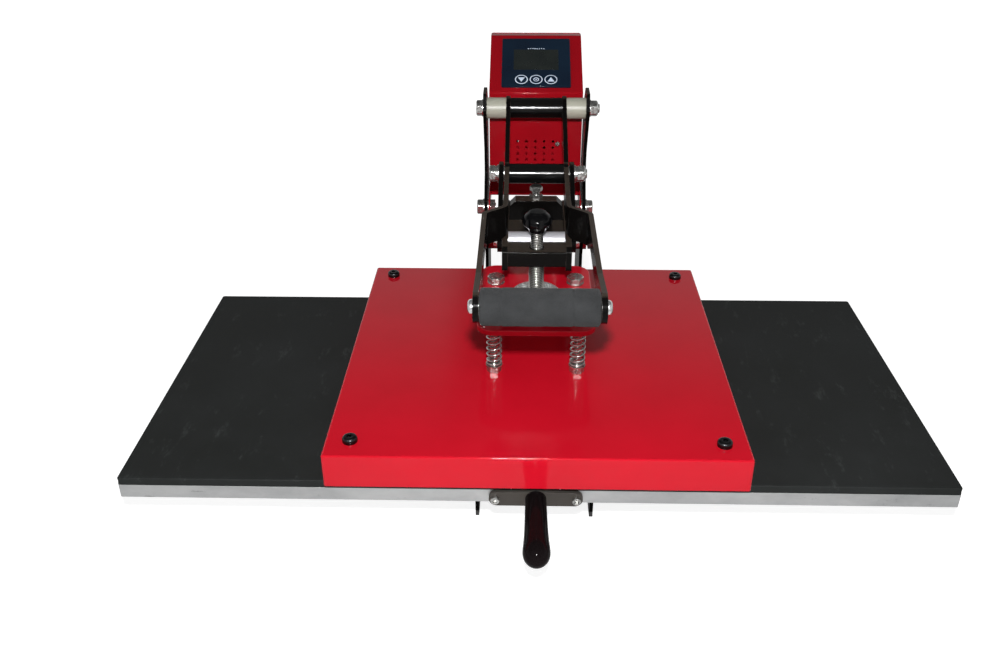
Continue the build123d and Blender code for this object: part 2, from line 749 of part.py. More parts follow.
def make_arm():
    """The press arm: two side plates, the web between them and what they carry."""
    front = nut_block_front_y
    stop_back = stop_block_y + stop_block_depth
    outline = [
        (front, nut_block_top - 22), (front, nut_block_top), (front + 6, nut_block_top + 4),
        (stop_back, stop_block_top - 6), (stop_back + 22, stop_block_top - 14),
        (hinge_pivot[0] - 18, hinge_pivot[1] + 43),
        (hinge_pivot[0] + hinge_boss_radius, hinge_pivot[1] + 14),
        (hinge_pivot[0] + hinge_boss_radius, hinge_pivot[1] - 10),
        (hinge_pivot[0] + 9, hinge_pivot[1] - hinge_boss_radius),
        (hinge_pivot[0] - 12, hinge_pivot[1] - hinge_boss_radius),
        (hinge_pivot[0] - 26, hinge_pivot[1] - 3), (stop_block_y + 14, arm_web_top - 28),
        (arm_pivot[0] + 16, nut_block_top - 28),
    ]
    plate = side_plate(outline, arm_inner, arm_half_width, 4)
    bush_outer = hinge_tube_diameter / 2 + hinge_bush_wall
    pin = arm_tube_diameter / 2 - 4
    plate -= rod_x(bush_outer, 0, 2 * arm_half_width, hinge_pivot)
    plate -= rod_x(pin, 0, 2 * arm_half_width, arm_pivot)
    left_and_right("arm_plate", plate)

    bush = tube_x(bush_outer, hinge_tube_diameter / 2 + pin_clearance,
                  arm_inner - 4, arm_half_width, hinge_pivot)
    collar = tube_x(bush_outer + 2.5, hinge_tube_diameter / 2 + pin_clearance,
                    arm_inner - 4, arm_inner, hinge_pivot)
    keep("hinge_bushes", *both_sides(bush + collar))

    back = nut_block_front_y + nut_block_depth
    block = box((-arm_inner, arm_inner), (nut_block_front_y, back),
                (nut_block_top - nut_block_height, nut_block_top))
    block = fillet(block.edges().filter_by(Axis.X), 1.5)
    block -= rod_z(screw_diameter / 2 + pin_clearance, nut_block_top - nut_block_height - 1,
                   nut_block_top + 1)
    keep("nut_block", block)

    tube = rod_x(arm_tube_diameter / 2, -arm_inner, arm_inner, arm_pivot)
    tube += rod_x(pin, -arm_half_width, arm_half_width, arm_pivot)
    keep("arm_pivot_tube", tube)

    web_front = arm_pivot[0] + arm_tube_diameter / 2 + 2
    web = box((-arm_inner, arm_inner), (web_front, stop_back),
              (arm_web_top - arm_web_thickness, arm_web_top))
    stop = box((-arm_inner, arm_inner), (stop_block_y, stop_back),
               (arm_web_top - arm_web_thickness, stop_block_top))
    stop = chamfer(stop.edges().filter_by(Axis.Y).group_by(Axis.Z)[-1], stop_block_chamfer)
    stop_y = mid_pivot[0] - stop_bolt_setback
    shank_radius = stop_bolt_diameter / 2
    shank_low = stop_block_top - 0.6 * stop_block_height
    stop -= rod_z(shank_radius, shank_low, stop_block_top + 1, 0, stop_y)
    keep("arm_web", web + stop)

    bolt_top = mid_pivot[1] - mid_sleeve_diameter / 2 - joint_gap
    head_low = bolt_top - stop_bolt_head
    nut_high = stop_block_top + 0.6 * stop_bolt_diameter
    lock_nut = hexagon_z(stop_bolt_flats, stop_block_top, nut_high, 0, stop_y)
    lock_nut -= rod_z(shank_radius, stop_block_top - 1, nut_high + 1, 0, stop_y)
    dome = rod_z(stop_bolt_flats * 0.55, head_low, bolt_top, 0, stop_y)
    dome = chamfer(dome.edges().group_by(Axis.Z)[-1], 1.5)
    head = hexagon_z(stop_bolt_flats, head_low, bolt_top, 0, stop_y) & dome
    bolt = head + rod_z(shank_radius, shank_low, head_low, 0, stop_y)
    keep("stop_bolt", bolt, lock_nut)


def axle(place, outer_face, spring_washer_height):
    """A hexagon bolt along X with washers under its head, and its washers and nut."""
    washers = rod_x(axle_washer_diameter / 2, outer_face, outer_face + axle_washer, place)
    seat = outer_face + axle_washer + spring_washer_height
    if spring_washer_height > 0:
        washers += rod_x(spring_washer_diameter / 2, outer_face + axle_washer, seat, place)
    tip = seat + axle_nut_height + axle_thread_end
    crown = rod_x(hex_across_flats * 0.55, seat, seat + hex_height, place)
    crown = chamfer(crown.edges().group_by(Axis.X)[-1], 1.2)
    head = hexagon_x(hex_across_flats, seat, seat + hex_height, place) & crown
    shank = chamfer(rod_x(axle_radius, -seat, tip, place).edges().group_by(Axis.X)[-1], 1.0)
    bolt = shank + mirror(washers + head, Plane.YZ)
    dome = rod_x(hex_across_flats * 0.55, seat, seat + axle_nut_height, place)
    dome = chamfer(dome.edges().group_by(Axis.X)[-1], 1.8)
    nut = hexagon_x(hex_across_flats, seat, seat + axle_nut_height, place) & dome
    return bolt, washers + nut - rod_x(axle_radius, 0, 2 * tip, place)


def make_top_axle():
    """The bolt across the top of the frame and the nylon spacers on it."""
    bolt, nut = axle(top_pivot, frame_outer, 0)
    keep("top_axle", bolt)
    keep("top_axle_nut", nut)
    spacer = tube_x(spacer_diameter / 2, axle_radius, crank_outer + 0.1, frame_inner, top_pivot)
    keep("nylon_spacers", *both_sides(spacer))


def make_handle():
    """The lever: cranks between the pivots that splay into the arms of the grip."""
    middle_crank = crank_half_width + crank_plate / 2
    middle_arm = handle_inner + crank_plate / 2
    rear = top_pivot[0] + 40
    front = grip_pivot[0] - 40
    route = FilletPolyline((middle_crank, rear), (middle_crank, shoulder_back_y),
                           (middle_arm, shoulder_front_y), (middle_arm, front), radius=shoulder_bend)
    start = Plane(origin=(middle_crank, rear, 0), x_dir=(1, 0, 0), z_dir=(0, -1, 0))
    low = 150.0
    high = 450.0
    strip = sweep(start * Pos(0, (low + high) / 2) * Rectangle(crank_plate, high - low), path=route)

    eye = handle_eye_radius
    grip_y, grip_z = grip_pivot
    arm_high = grip_z + handle_top_rise
    arm_low = arm_high - handle_height
    crank_low = arm_pivot[1] + crank_low_rise
    outline = [
        (mid_pivot[0] + 2, mid_pivot[1] + crank_end_radius - 1),
        (shoulder_back_y + 34, arm_high - 4), (shoulder_front_y, arm_high - 1),
        (grip_y + 4 * eye, arm_high), (grip_y, grip_z + eye), (grip_y, grip_z - eye),
        (grip_y + 2 * eye, arm_low), (shoulder_front_y - 41, arm_low),
        (shoulder_front_y - 29, crank_low + 5), (shoulder_front_y - 11, crank_low - 4),
        (shoulder_front_y + 13, crank_low - 5), (shoulder_back_y + 2, crank_low),
        (arm_pivot[0] + 20, crank_low), (mid_pivot[0] - 4, mid_pivot[1] - crank_end_radius),
    ]
    shape = side_plate(outline, 0, frame_width, 3)
    shape += rod_x(eye, 0, frame_width, grip_pivot)
    shape += rod_x(crank_end_radius + 0.5, 0, frame_width, mid_pivot)
    shape += strap(top_pivot, mid_pivot, crank_end_radius, 0, frame_width)
    plate = strip & shape
    plate -= rod_x(axle_radius + pin_clearance, 0, frame_width, top_pivot)
    plate -= rod_x(axle_radius, 0, crank_outer + 1, mid_pivot)
    plate -= rod_x(4, 0, frame_width, grip_pivot)
    left_and_right("handle_plate", plate)

    sleeve = tube_x(top_sleeve_diameter / 2, axle_radius + pin_clearance,
                    -crank_half_width, crank_half_width, top_pivot)
    keep("top_sleeve", sleeve)
    keep("mid_sleeve", tube_x(mid_sleeve_diameter / 2, axle_radius,
                              -crank_half_width, crank_half_width, mid_pivot))
    bolt, nut = axle(mid_pivot, link_outer, spring_washer)
    ring = tube_x(axle_radius + 4, axle_radius, crank_outer, link_inner - 0.1, mid_pivot)
    keep("mid_axle", bolt, *both_sides(ring))
    keep("mid_axle_nut", nut)

    rod = rod_x(grip_rod_diameter / 2, -handle_inner, handle_inner, grip_pivot)
    rod -= rod_x(4, -frame_width, frame_width, grip_pivot)
    keep("grip_rod", rod)
    grip = tube_x(grip_diameter / 2, grip_rod_diameter / 2, -handle_inner + 0.4, handle_inner - 0.4,
                  grip_pivot)
    grip = fillet(grip.edges().filter_by(GeomType.CIRCLE).group_by(SortBy.RADIUS)[-1], 3)
    keep("foam_grip", grip)
    screw_face = handle_width / 2
    head = rod_x(grip_screw_head / 2, screw_face, screw_face + 4.5, grip_pivot)
    head = fillet(head.edges().group_by(Axis.X)[-1], 3)
    shank = rod_x(4, screw_face - 30, screw_face, grip_pivot)
    socket = hexagon_x(4, screw_face + 2.2, screw_face + 6, grip_pivot)
    keep("grip_screws", *both_sides(head + shank - socket))


def make_links():
    """The two outer toggle links, from the middle axle down to the arm, and their screws."""
    link = strap(arm_pivot, mid_pivot, link_end_radius, link_inner, link_outer)
    link -= rod_x(axle_radius + pin_clearance, 0, frame_width, mid_pivot)
    link -= rod_x(axle_radius, 0, frame_width, arm_pivot)
    left_and_right("link", link)
    shank = rod_x(axle_radius, link_inner, link_outer, arm_pivot)
    head = rod_x(7, link_outer, link_outer + 4, arm_pivot)
    head = fillet(head.edges().group_by(Axis.X)[-1], 1.5)
    keep("link_screws", *both_sides(shank + head))


def make_console():
    """The control box between the frame plates and what it holds."""
    half = console_width / 2
    profile = [
        (console_front_y, console_bottom_z), (console_front_y, console_knee_z),
        (console_slope_y, console_top_z), (console_back_y, console_top_z),
        (console_back_y, console_bottom_z),
    ]
    shell = side_plate(profile, -half, half, 2.5)
    inside = offset(Plane.YZ * make_face(Polyline(*profile, close=True)), amount=-sheet)
    shell -= Pos(-half + sheet, 0, 0) * extrude(inside, 2 * (half - sheet))
    shell -= box((-half + sheet, half - sheet), (console_back_y - 3, console_back_y + 1),
                 (console_bottom_z + sheet, console_top_z - sheet))
    ear = strap(ear_pivot, (console_front_y + 20, ear_pivot[1] + 12), ear_radius,
                half - sheet, half)
    ear -= box((0, half - sheet), (0, console_back_y), (0, console_top_z))
    ear -= rod_x(console_bolt_diameter / 2, 0, frame_width, ear_pivot)
    for solid in both_sides(ear):
        shell += solid
    for column in range(vent_columns):
        x = (column - (vent_columns - 1) / 2) * vent_pitch_x
        for row in range(vent_rows):
            z = vent_middle_z + (row - (vent_rows - 1) / 2) * vent_pitch_z
            shell -= rod_y(vent_diameter / 2, console_front_y - 1, console_front_y + 4, x, z)
    face = console_plane()
    depth = 8 * sheet
    window = Box(glass_width - 2 * glass_seat, glass_length - 2 * glass_seat, depth)
    shell -= face * Pos(0, 0, -depth / 3) * window
    front_x = vent_pitch_x * vent_columns / 2
    front_z = vent_middle_z + vent_pitch_z * (vent_rows - 1) / 2 - 3
    thread = back_screw_diameter / 2
    shell -= rod_y(thread, console_front_y - 1, console_front_y + 4, front_x, front_z)
    keep("console_housing", shell)

    keep("display_glass",
         face * extrude(RectangleRounded(glass_width, glass_length, 2), glass_thickness))
    keep("lcd_module", face * Pos(0, lcd_rise, -lcd_depth) * Box(lcd_width, lcd_length, lcd_thickness))
    board = Box(glass_width - 2 * board_margin, glass_length - 2 * board_margin, board_thickness)
    keep("control_board", face * Pos(0, 0, -board_depth) * board)

    back_low = console_back_y
    back_high = console_back_y + sheet
    inlet_half = inlet_width / 2 + inlet_wall
    inlet_reach = inlet_height / 2 + inlet_wall
    back = box((-half, half), (back_low, back_high), (console_bottom_z, console_top_z))
    back = fillet(back.edges().filter_by(Axis.Y), 2)
    for x, wide, high in ((rocker_x, rocker_width / 2, rocker_radius), (inlet_x, inlet_half, inlet_reach)):
        wide += panel_clearance
        high += panel_clearance
        back -= box((x - wide, x + wide), (back_low - 1, back_high + 1), (rocker_z - high, rocker_z + high))

    low_z = console_bottom_z + back_screw_inset
    high_z = console_top_z - back_screw_inset
    heads = []
    for x in (-half + back_screw_inset, half - back_screw_inset):
        for z in (low_z, (low_z + high_z) / 2, high_z):
            back -= rod_y(thread, back_low - 1, back_high + 1, x, z)
            head = rod_y(back_screw_head / 2, back_high, back_high + 2, x, z)
            head = fillet(head.edges().group_by(Axis.Y)[-1], 1.2)
            heads.append(head + rod_y(thread, back_low, back_high, x, z))
    keep("console_back", back)
    head = rod_y(back_screw_head / 2, console_front_y - 2, console_front_y, front_x, front_z)
    head = fillet(head.edges().group_by(Axis.Y)[0], 1.2)
    heads.append(head + rod_y(thread, console_front_y, console_front_y + 5, front_x, front_z))
    keep("console_screws", *heads)

    make_inlet(back_low, back_high)
    relay_low = rocker_z + relay_gap
    relay = box((-relay_width / 2, relay_width / 2), (back_low - relay_depth, back_low),
                (relay_low, relay_low + relay_height))
    keep("power_relay", fillet(relay.edges().filter_by(Axis.Y), 3))
    make_rocker(back_high)
    make_console_bolts(half)


def make_inlet(back_low, back_high):
    """The mains socket in the console's back, with its three pins."""
    x_half = inlet_width / 2
    z_half = inlet_height / 2
    recess = box((inlet_x - x_half, inlet_x + x_half),
                 (back_low - inlet_depth, back_high + 2 * inlet_flange_thickness),
                 (rocker_z - z_half, rocker_z + z_half))
    recess = chamfer(recess.edges().filter_by(Axis.Y).group_by(Axis.Z)[-1], inlet_height / 4)
    x_half += inlet_wall
    z_half += inlet_wall
    body = box((inlet_x - x_half, inlet_x + x_half), (back_low - inlet_depth - inlet_floor, back_high + 1),
               (rocker_z - z_half, rocker_z + z_half))
    x_half += inlet_flange
    z_half += inlet_flange
    flange = box((inlet_x - x_half, inlet_x + x_half), (back_high, back_high + inlet_flange_thickness),
                 (rocker_z - z_half, rocker_z + z_half))
    inlet = fillet(flange.edges().filter_by(Axis.Y), 3) + body - recess
    for side in (-1, 0, 1):
        x = inlet_x + side * inlet_pin_pitch
        low = rocker_z if side == 0 else rocker_z - inlet_pin_height
        inlet += box((x - inlet_pin_width / 2, x + inlet_pin_width / 2),
                     (back_low - inlet_depth - inlet_floor / 2, back_high - 1),
                     (low, low + inlet_pin_height))
    keep("mains_inlet", inlet)


def make_rocker(back_high):
    """The power switch: part of a drum whose front is cut by two planes at an angle."""
    pivot_y = back_high - rocker_pivot_depth
    drum = rod_x(rocker_radius, rocker_x - rocker_width / 2, rocker_x + rocker_width / 2,
                 (pivot_y, rocker_z))
    reach = 2 * rocker_radius
    cut = box((rocker_x - reach, rocker_x + reach), (rocker_face_reach, reach), (0, reach))
    for side in (-1, 1):
        wedge = mirror(cut, Plane.XY) if side < 0 else cut
        drum -= Pos(0, pivot_y, rocker_z) * Rot(side * rocker_tilt - rocker_tilt, 0, 0) * wedge
    drum -= box((rocker_x - reach, rocker_x + reach), (pivot_y - reach, pivot_y - rocker_back_reach),
                (rocker_z - reach, rocker_z + reach))
    keep("power_rocker", drum)


def make_console_bolts(half):
    """The two bolts that hold the console's ears to the frame plates."""
    radius = console_bolt_diameter / 2
    ear_inner = half - sheet
    seat = frame_outer + axle_washer
    spacer = rod_x(axle_washer_diameter / 2, half, frame_inner, ear_pivot)
    washer = rod_x(axle_washer_diameter / 2, frame_outer, seat, ear_pivot)
    crown = rod_x(hex_across_flats * 0.55, seat, seat + console_bolt_head, ear_pivot)
    crown = chamfer(crown.edges().group_by(Axis.X)[-1], 1.2)
    head = hexagon_x(hex_across_flats, seat, seat + console_bolt_head, ear_pivot) & crown
    nut = hexagon_x(hex_across_flats, ear_inner - console_nut_height, ear_inner, ear_pivot)
    shank = rod_x(radius, ear_inner - console_nut_height - 1, seat, ear_pivot)
    keep("console_bolts", *both_sides(spacer + washer + head + nut + shank))


def write_all():
    """Move the origin under the middle of the machine and write one file for each node."""
    boxes = [solid.bounding_box() for solids in pieces.values() for solid in solids]
    middle_y = (min(b.min.Y for b in boxes) + max(b.max.Y for b in boxes)) / 2
    print("the heated head's middle is at Y %.4f" % -middle_y)
    os.makedirs("parts", exist_ok=True)
    for name, solids in pieces.items():
        placed = [Pos(0, -middle_y, 0) * solid for solid in solids]
        shape = placed[0] if len(placed) == 1 else Compound(children=placed)
        export_step(shape, "parts/" + name + ".step")


make_frame()
make_bearings()
make_table()
make_table_handle()
make_heated_head()
make_springs()
make_pressure_parts()
make_arm()
make_top_axle()
make_handle()
make_links()
make_console()
write_all()
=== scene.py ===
"""Looks of the dual station heat press: finishes, soft parts, threads, print, light and camera.

Metres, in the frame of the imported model: the operator stands at -Y, and the floor is at Z 0.
"""
import math

import bmesh
import bpy
from mathutils import Matrix, Vector, noise


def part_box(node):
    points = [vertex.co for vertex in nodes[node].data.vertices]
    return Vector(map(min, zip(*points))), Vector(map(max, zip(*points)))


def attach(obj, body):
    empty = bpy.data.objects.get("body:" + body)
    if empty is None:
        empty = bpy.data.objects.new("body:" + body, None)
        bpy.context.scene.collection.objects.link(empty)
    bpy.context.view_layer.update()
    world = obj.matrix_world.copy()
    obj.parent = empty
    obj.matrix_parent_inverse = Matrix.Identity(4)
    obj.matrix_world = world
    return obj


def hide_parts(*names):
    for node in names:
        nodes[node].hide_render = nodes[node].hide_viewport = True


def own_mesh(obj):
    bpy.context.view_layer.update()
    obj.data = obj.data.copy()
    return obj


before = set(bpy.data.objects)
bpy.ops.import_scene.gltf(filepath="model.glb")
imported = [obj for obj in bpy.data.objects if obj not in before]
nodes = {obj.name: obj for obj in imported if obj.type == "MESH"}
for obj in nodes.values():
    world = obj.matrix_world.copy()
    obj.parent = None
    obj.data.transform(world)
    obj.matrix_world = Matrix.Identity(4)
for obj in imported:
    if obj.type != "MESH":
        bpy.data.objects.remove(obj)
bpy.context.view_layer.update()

MM = 0.001
FULL_TURN = 2 * math.pi


def middle(node):
    """The middle of a node's box."""
    low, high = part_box(node)
    return (low + high) / 2


def srgb(red, green, blue):
    """A colour as it is seen on a screen, 0 to 255, as a linear colour with alpha."""
    def linear(value):
        share = value / 255
        return share / 12.92 if share <= 0.04045 else ((share + 0.055) / 1.055) ** 2.4
    return linear(red), linear(green), linear(blue), 1.0


# Shader nodes

def add_node(tree, kind, feeds=None, **settings):
    """A shader node whose inputs are fed constants or the outputs of other nodes."""
    node = tree.nodes.new("ShaderNode" + kind)
    for key, value in settings.items():
        setattr(node, key, value)
    for place, value in (feeds or {}).items():
        if isinstance(value, bpy.types.NodeSocket):
            tree.links.new(value, node.inputs[place])
        else:
            node.inputs[place].default_value = value
    return node


# Finishes

class Finish:
    """A Principled material, put together from procedural layers in object space."""

    def __init__(self, name, **values):
        self.material = bpy.data.materials.new(name)
        self.material.use_nodes = True
        self.tree = self.material.node_tree
        self.tree.nodes.clear()
        constants = {key.replace("_", " "): value for key, value in values.items()}
        self.shader = self.add("BsdfPrincipled", constants)
        self.add("OutputMaterial", {"Surface": self.shader.outputs["BSDF"]})
        self.place = self.add("TexCoord").outputs["Object"]
        self.normal = None

    def add(self, kind, feeds=None, **settings):
        """A node of this material."""
        return add_node(self.tree, kind, feeds, **settings)

    def stretched(self, stretch):
        """Object coordinates, scaled by a factor for each axis."""
        if stretch is None:
            return self.place
        return self.add("Mapping", {"Vector": self.place, "Scale": stretch}).outputs["Vector"]

    def grain(self, scale, detail=3.0, rough=0.55, stretch=None):
        """Cloudy noise, about 0 to 1, with so many patches to the metre."""
        node = self.add("TexNoise", {"Vector": self.stretched(stretch), "Scale": scale,
                                     "Detail": detail, "Roughness": rough})
        return node.outputs["Fac"]

    def cells(self, scale, stretch=None):
        """Distance to the nearest of scattered points, with so many cells to the metre."""
        node = self.add("TexVoronoi", {"Vector": self.stretched(stretch), "Scale": scale})
        return node.outputs["Distance"]

    def scaled(self, value, low, high, first=0.0, last=1.0):
        """Map low..high to first..last, held at both ends."""
        node = self.add("MapRange", {"Value": value, "From Min": low, "From Max": high,
                                     "To Min": first, "To Max": last})
        return node.outputs["Result"]

    def times(self, first, second):
        """The product of two values."""
        return self.add("Math", {0: first, 1: second}, operation="MULTIPLY").outputs["Value"]

    def blend(self, share, first, second):
        """A colour between two colours."""
        return self.add("Mix", {0: share, 6: first, 7: second}, data_type="RGBA").outputs[2]

    def blend_value(self, share, first, second):
        """A value between two values."""
        return self.add("Mix", {0: share, 2: first, 3: second}).outputs[0]

    def upward(self):
        """A mask that is 1 where the surface faces straight up."""
        normal = self.add("NewGeometry").outputs["Normal"]
        return self.scaled(self.add("SeparateXYZ", {0: normal}).outputs["Z"], 0.90, 0.99)

    def off_axis(self, centre, across):
        """Distance from an axis through a point; across is 0 along it and 1 on the other two."""
        shift = self.add("VectorMath", {0: self.place, 1: centre}, operation="SUBTRACT")
        flat = self.add("VectorMath", {0: shift.outputs[0], 1: across}, operation="MULTIPLY")
        return self.add("VectorMath", {0: flat.outputs[0]}, operation="LENGTH").outputs["Value"]

    def edges(self, radius):
        """Soften hard edges by a radius, and return a mask that is 1 along them."""
        self.normal = self.add("Bevel", {"Radius": radius}, samples=6).outputs["Normal"]
        plain = self.add("NewGeometry").outputs["Normal"]
        dot = self.add("VectorMath", {0: self.normal, 1: plain}, operation="DOT_PRODUCT")
        return self.scaled(dot.outputs["Value"], 0.985, 0.80)

    def bump(self, height, depth, strength=1.0):
        """Raise the surface by a value between 0 and 1, times a depth."""
        feeds = {"Strength": strength, "Distance": depth, "Height": height}
        if self.normal is not None:
            feeds["Normal"] = self.normal
        self.normal = self.add("Bump", feeds).outputs["Normal"]

    def done(self, colour, roughness):
        """Join the layers to the shader and return the material."""
        self.tree.links.new(colour, self.shader.inputs["Base Color"])
        self.tree.links.new(roughness, self.shader.inputs["Roughness"])
        if self.normal is not None:
            self.tree.links.new(self.normal, self.shader.inputs["Normal"])
            if self.shader.inputs["Coat Weight"].default_value > 0:
                self.tree.links.new(self.normal, self.shader.inputs["Coat Normal"])
        return self.material


def powder_coat(name, colour, deep, worn, roughness, peel=0.06 * MM, edge_share=0.5, smear=0.14,
                dust=None, level=0.5):
    """Gloss powder coat: orange peel, clouds of tone, edges blended to a worn colour that is also a
    painted highlight, and dust with painted light on level faces.
    """
    paint = Finish(name, IOR=1.45, Specular_IOR_Level=level)
    edge = paint.edges(0.6 * MM)
    clouds = paint.scaled(paint.grain(14, 4, 0.6), 0.35, 0.7)
    body = paint.blend(clouds, colour, deep)
    shine = paint.scaled(paint.grain(30, 5, 0.65), 0.3, 0.75, roughness, roughness + smear)
    if dust is not None:
        # Level faces turn paler brown: dust specks, and painted light on the tops.
        specks = paint.scaled(paint.grain(420, 6, 0.75), 0.36, 0.66, 0.35, 1.0)
        settled_dust_and_top_light = paint.times(paint.upward(), specks)
        body = paint.blend(settled_dust_and_top_light, body, dust)
        shine = paint.blend_value(settled_dust_and_top_light, shine, 0.55)
    # Edges take the worn colour: rubbed paint, and a painted highlight along the edges.
    edge_rub_and_highlight = paint.times(edge, paint.scaled(paint.grain(160, 5, 0.7), 0.38, 0.68, 0.0, edge_share))
    body = paint.blend(edge_rub_and_highlight, body, worn)
    paint.bump(paint.grain(620, 2, 0.5), peel)
    return paint.done(body, shine)


def bare_metal(name, colour, dark, low_rough, high_rough, stretch, scratch=0.02 * MM, spots=0.5,
               metallic=1.0, patch=55):
    """Metal with drawn or turned lines, dull patches and small dark marks."""
    metal = Finish(name, Metallic=metallic)
    metal.edges(0.4 * MM)
    lines = metal.grain(900, 4, 0.7, stretch)
    patches = metal.grain(patch, 5, 0.65)
    tone = metal.blend(metal.scaled(patches, 0.4, 0.75, 0.0, spots), colour, dark)
    tone = metal.blend(metal.scaled(lines, 0.3, 0.7, 0.0, 0.22), tone, dark)
    metal.bump(lines, scratch)
    return metal.done(tone, metal.scaled(patches, 0.3, 0.7, low_rough, high_rough))


def moulded(name, colour, light, roughness, texture, depth=0.04 * MM, level=0.5):
    """Plastic, rubber or resin with a fine grain, dust and paler edges."""
    stuff = Finish(name, Specular_IOR_Level=level)
    edge = stuff.edges(0.6 * MM)
    dust = stuff.scaled(stuff.grain(40, 5, 0.65), 0.42, 0.75, 0.0, 0.5)
    tone = stuff.blend(dust, colour, light)
    tone = stuff.blend(stuff.times(edge, 0.35), tone, light)
    stuff.bump(stuff.grain(texture, 3, 0.6), depth)
    shine = stuff.scaled(stuff.grain(90, 4, 0.6), 0.3, 0.7, roughness - 0.05, roughness + 0.07)
    return stuff.done(tone, shine)


def platen_metal():
    """Milled aluminium: lines along X, scuffs, and small dents."""
    metal = Finish("milled_aluminium", Metallic=1.0)
    edge = metal.edges(0.5 * MM)
    lines = metal.grain(700, 5, 0.7, (0.04, 1, 1))
    clouds = metal.grain(24, 5, 0.6, (0.5, 1, 1))
    tone = metal.blend(metal.scaled(clouds, 0.35, 0.7), srgb(200, 201, 201), srgb(172, 173, 174))
    scuffs = metal.scaled(metal.grain(120, 6, 0.75, (0.35, 1, 1)), 0.62, 0.72, 0.0, 0.75)
    tone = metal.blend(scuffs, tone, srgb(112, 112, 112))
    # Edges painted paler: a painted highlight along the milled edges.
    tone = metal.blend(metal.times(edge, 0.6), tone, srgb(232, 233, 231))
    metal.bump(lines, 0.03 * MM)
    metal.bump(metal.scaled(metal.cells(260), 0.0, 0.10), 0.08 * MM, 0.6)
    return metal.done(tone, metal.scaled(clouds, 0.3, 0.7, 0.42, 0.58))


def mat_foam():
    """Silicone foam pad: matt near-black skin with a fine grain and pale scuffs."""
    foam = Finish("silicone_pad", Specular_IOR_Level=0.2)
    clouds = foam.grain(9, 5, 0.6)
    tone = foam.blend(foam.scaled(clouds, 0.35, 0.7), srgb(22, 24, 23), srgb(33, 35, 35))
    rubs = foam.scaled(foam.grain(70, 7, 0.78, (1, 0.35, 1)), 0.58, 0.75, 0.0, 0.45)
    tone = foam.blend(rubs, tone, srgb(70, 74, 73))
    specks = foam.scaled(foam.cells(900), 0.10, 0.05, 0.0, 0.35)
    tone = foam.blend(foam.times(specks, foam.scaled(foam.grain(300), 0.5, 0.65)), tone,
                      srgb(104, 106, 104))
    foam.bump(foam.grain(1500, 3, 0.6), 0.12 * MM)
    foam.bump(foam.grain(45, 4, 0.6), 0.25 * MM, 0.5)
    return foam.done(tone, foam.scaled(clouds, 0.3, 0.7, 0.62, 0.8))


def grip_foam():
    """Open sponge sleeve: small pores, no shine."""
    foam = Finish("sponge_grip", Specular_IOR_Level=0.2, Sheen_Weight=0.04)
    pores = foam.cells(1500)
    clouds = foam.grain(60, 5, 0.65)
    tone = foam.blend(foam.scaled(clouds, 0.35, 0.7), srgb(35, 36, 37), srgb(47, 48, 49))
    # The pores are painted darker: painted shade in the pores.
    tone = foam.blend(foam.scaled(pores, 0.25, 0.08, 0.0, 0.7), tone, srgb(16, 17, 17))
    foam.bump(foam.scaled(pores, 0.05, 0.5), 0.35 * MM)
    foam.bump(foam.grain(420, 4, 0.65), 0.25 * MM, 0.8)
    return foam.done(tone, foam.scaled(clouds, 0.3, 0.7, 0.86, 0.97))


def glass_front():
    """The smoked navy glass of the display, with faint finger marks."""
    glass = Finish("smoked_glass", IOR=1.5, Specular_IOR_Level=0.25)
    glass.edges(0.8 * MM)
    depth = glass.scaled(glass.grain(18, 3, 0.5), 0.35, 0.7)
    tone = glass.blend(depth, srgb(9, 22, 38), srgb(13, 30, 46))
    prints = glass.scaled(glass.grain(75, 6, 0.7), 0.45, 0.75, 0.06, 0.26)
    return glass.done(tone, prints)


def screen():
    """The liquid crystal window: a dark field with a slow change of tone."""
    field = Finish("display_field", Specular_IOR_Level=0.6)
    clouds = field.scaled(field.grain(40, 3, 0.5), 0.35, 0.7)
    tone = field.blend(clouds, srgb(16, 22, 22), srgb(26, 31, 29))
    return field.done(tone, field.scaled(field.grain(120, 4), 0.3, 0.7, 0.18, 0.3))


def print_ink():
    """White screen print, a little uneven."""
    white = Finish("white_print", Specular_IOR_Level=0.3)
    clouds = white.scaled(white.grain(900, 3), 0.35, 0.7)
    tone = white.blend(clouds, srgb(205, 216, 232), srgb(170, 184, 205))
    return white.done(tone, white.scaled(white.grain(300), 0.3, 0.7, 0.4, 0.55))


def fibre_board():
    """Pale woven insulation board."""
    board = Finish("fibre_board")
    weave = board.grain(300, 5, 0.7, (1, 0.2, 1))
    tone = board.blend(board.scaled(weave, 0.3, 0.7), srgb(196, 186, 160), srgb(160, 148, 120))
    board.bump(weave, 0.2 * MM)
    return board.done(tone, board.scaled(weave, 0.3, 0.7, 0.8, 0.95))


def circuit_board():
    """Green solder mask with paler copper under it."""
    board = Finish("solder_mask", Coat_Weight=0.3)
    tracks = board.scaled(board.cells(330, (1, 0.3, 1)), 0.3, 0.36)
    tone = board.blend(tracks, srgb(20, 84, 44), srgb(30, 108, 58))
    board.bump(tracks, 0.03 * MM)
    return board.done(tone, board.scaled(board.grain(200), 0.3, 0.7, 0.3, 0.45))


def shaded_thread_steel(name, centre, across, root, crest):
    """Thread crests painted bright over grooves painted dark, by the distance from the bar's axis:
    painted highlight and painted shade.
    """
    metal = Finish(name, Metallic=1.0)
    depth = metal.scaled(metal.off_axis(centre, across), root, crest)
    worn = metal.scaled(metal.grain(400, 4, 0.6), 0.3, 0.7, 0.0, 0.3)
    # Dark grooves and bright crests: painted shade and painted highlight.
    tone = metal.blend(depth, srgb(22, 20, 17), srgb(224, 224, 220))
    tone = metal.blend(worn, tone, srgb(120, 116, 106))
    return metal.done(tone, metal.scaled(depth, 0.0, 1.0, 0.55, 0.30))


